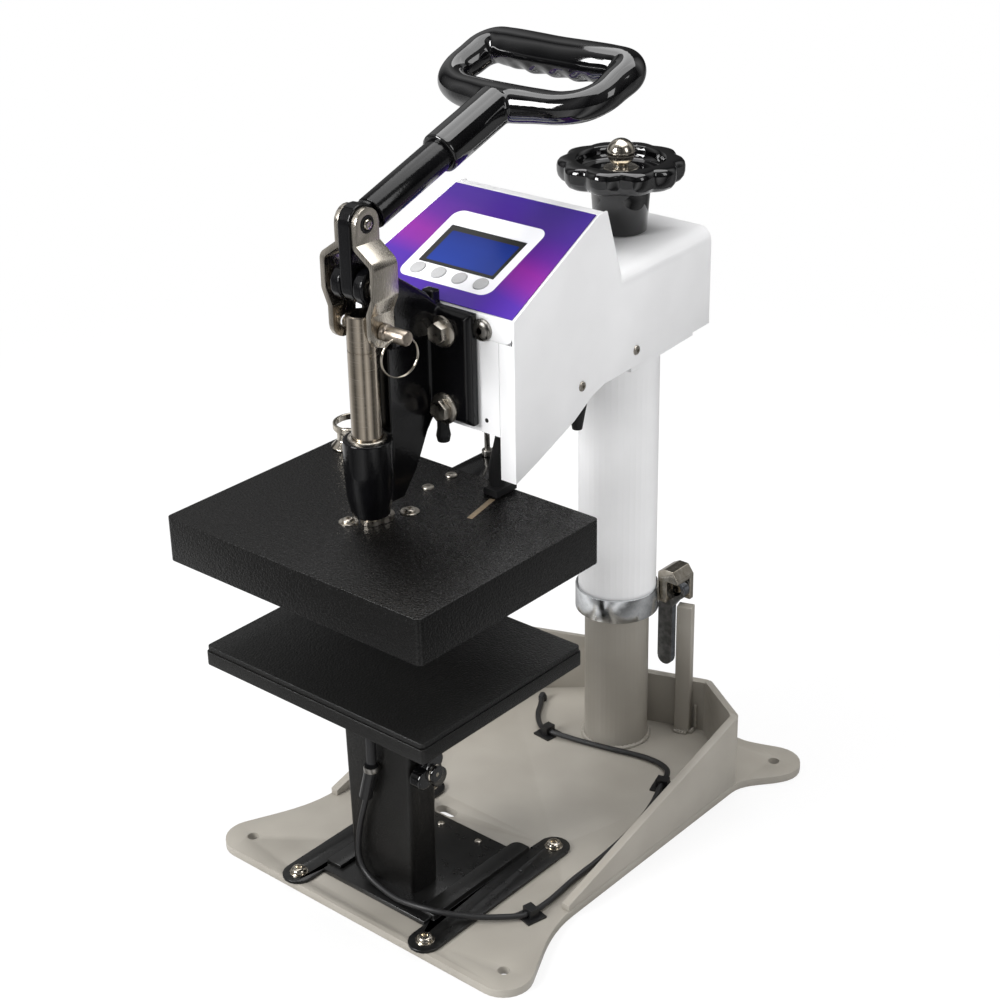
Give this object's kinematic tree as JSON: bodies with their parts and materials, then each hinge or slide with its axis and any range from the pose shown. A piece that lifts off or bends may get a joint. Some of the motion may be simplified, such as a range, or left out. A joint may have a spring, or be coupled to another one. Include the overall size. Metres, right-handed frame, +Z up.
{
  "type": "combo heat press",
  "caption": "Swing-away heat press with a toggle handle, a control console and a column on a waisted base plate.",
  "frame": {"origin": "foot of the column's axis, in the plane that the base plate stands on", "axes": "+X to the operator's right, +Y to the rear, +Z up; the operator stands at -Y"},
  "size_m": [0.362, 0.516, 0.7351],
  "materials": {
    "greige_paint": "satin powder coat",
    "white_paint": "satin powder coat",
    "black_paint": "fine textured powder coat",
    "black_aluminium": "non-stick coat",
    "steel": "machined and zinc plated",
    "stainless": "brushed",
    "chrome": "polished",
    "bronze": "turned",
    "black_plastic": "gloss",
    "rubber": "matte",
    "silicone": "matte",
    "overlay": "printed film",
    "window": "clear gloss over a blue display",
    "key_grey": "matte",
    "board": "solder mask",
    "insulation": "pressed fibre board"
  },
  "bodies": {
    "base": {"base_plate": "greige_paint", "base_wall": "greige_paint", "stop_post": "greige_paint", "inner_column": "greige_paint", "column_plug": "steel", "rail_left": "black_paint", "rail_right": "black_paint", "heater_cable": "rubber", "cable_boot": "rubber", "cable_clip_1": "rubber", "cable_clip_2": "rubber", "cable_clip_3": "rubber"},
    "table": {"slide_plate": "black_paint", "pedestal": "black_paint", "lower_platen": "black_aluminium", "platen_pad": "silicone", "platen_lead": "rubber", "cable_plug": "rubber"},
    "table_knob": {"pedestal_knob": "black_plastic"},
    "lift": {"thrust_bush": "bronze"},
    "knob": {"adjusting_screw": "steel", "height_knob": "black_plastic", "acorn_nut": "chrome"},
    "swing_arm": {"outer_tube": "white_paint", "arm_frame": "white_paint", "arm_cover": "white_paint", "console_face": "white_paint", "clamp_collar": "chrome", "clamp_lug": "steel", "fulcrum_bolt": "steel", "guide_rod": "steel", "control_overlay": "overlay", "display_window": "window", "control_board": "board", "toggle_casting": "black_paint", "probe_boot": "rubber", "power_gland": "rubber"},
    "lever": {"clamp_lever": "chrome"},
    "key_one": {"key_1": "key_grey"},
    "key_two": {"key_2": "key_grey"},
    "key_three": {"key_3": "key_grey"},
    "key_four": {"key_4": "key_grey"},
    "head": {"plunger": "steel", "clevis_pin": "steel", "platen_foot": "steel", "lifting_eye": "steel", "platen_cover": "black_paint", "guide_bracket": "black_paint", "heat_plate": "black_aluminium", "insulation_board": "insulation", "heater_conduit": "rubber"},
    "handle": {"handle_crank": "black_paint", "handle_tube": "black_paint", "hand_grip": "black_plastic", "top_pin": "chrome"},
    "links": {"link_left": "stainless", "link_right": "stainless"},
    "pull_pin_body": {"pull_pin": "steel"},
    "ring_body": {"split_ring": "steel"}
  },
  "joints": [
    {"name": "arm_lift", "type": "slide", "parent": "base", "child": "lift", "axis": [0, 0, 1], "range_m": [0, 0.02]},
    {"name": "height_knob_turn", "type": "hinge", "parent": "lift", "child": "knob", "pos_m": [0, 0, 0.6], "axis": [0, 0, 1], "range_deg": [0, 1801]},
    {"name": "arm_swing", "type": "hinge", "parent": "lift", "child": "swing_arm", "pos_m": [0, 0, 0.2], "axis": [0, 0, 1], "range_deg": [0, 110]},
    {"name": "clamp_lever_turn", "type": "hinge", "parent": "swing_arm", "child": "lever", "pos_m": [0.039, 0.0475, 0.1671], "axis": [0, 1, 0], "range_deg": [0, 65]},
    {"name": "plunger_slide", "type": "slide", "parent": "swing_arm", "child": "head", "axis": [0, 0, -1], "range_m": [0, 0.0828]},
    {"name": "handle_turn", "type": "hinge", "parent": "swing_arm", "child": "handle", "pos_m": [0, -0.336, 0.5855], "axis": [1, 0, 0], "range_deg": [0, 141]},
    {"name": "link_turn", "type": "hinge", "parent": "handle", "child": "links", "pos_m": [0, -0.336, 0.6355], "axis": [1, 0, 0], "range_deg": [-119.4, 0]},
    {"name": "pull_pin_slide", "type": "slide", "parent": "links", "child": "pull_pin_body", "axis": [1, 0, 0], "range_m": [0, 0.03]},
    {"name": "ring_swing", "type": "hinge", "parent": "pull_pin_body", "child": "ring_body", "pos_m": [0.04, -0.336, 0.5505], "axis": [-0.2588, -0.9659, 0], "range_deg": [-5, 90]},
    {"name": "table_slide", "type": "slide", "parent": "base", "child": "table", "axis": [0, -1, 0], "range_m": [0, 0.1], "deforming": ["heater_cable"]},
    {"name": "table_knob_turn", "type": "hinge", "parent": "table", "child": "table_knob", "pos_m": [0.0345, -0.3195, 0.141], "axis": [1, 0, 0], "range_deg": [-180, 180]},
    {"name": "key_1_press", "type": "slide", "parent": "swing_arm", "child": "key_one", "axis": [0, 0.3949, -0.9187], "range_m": [0, 0.001], "stiffness_N_per_m": 300},
    {"name": "key_2_press", "type": "slide", "parent": "swing_arm", "child": "key_two", "axis": [0, 0.3949, -0.9187], "range_m": [0, 0.001], "stiffness_N_per_m": 300},
    {"name": "key_3_press", "type": "slide", "parent": "swing_arm", "child": "key_three", "axis": [0, 0.3949, -0.9187], "range_m": [0, 0.001], "stiffness_N_per_m": 300},
    {"name": "key_4_press", "type": "slide", "parent": "swing_arm", "child": "key_four", "axis": [0, 0.3949, -0.9187], "range_m": [0, 0.001], "stiffness_N_per_m": 300}
  ],
  "couplings": [
    {"joint": "height_knob_turn", "follows": "arm_lift", "rad_per_m": 1570.8},
    {"joint": "handle_turn", "follows": "plunger_slide", "rad_per_m": 29.72},
    {"joint": "link_turn", "follows": "plunger_slide", "rad_per_m": -25.15}
  ]
}
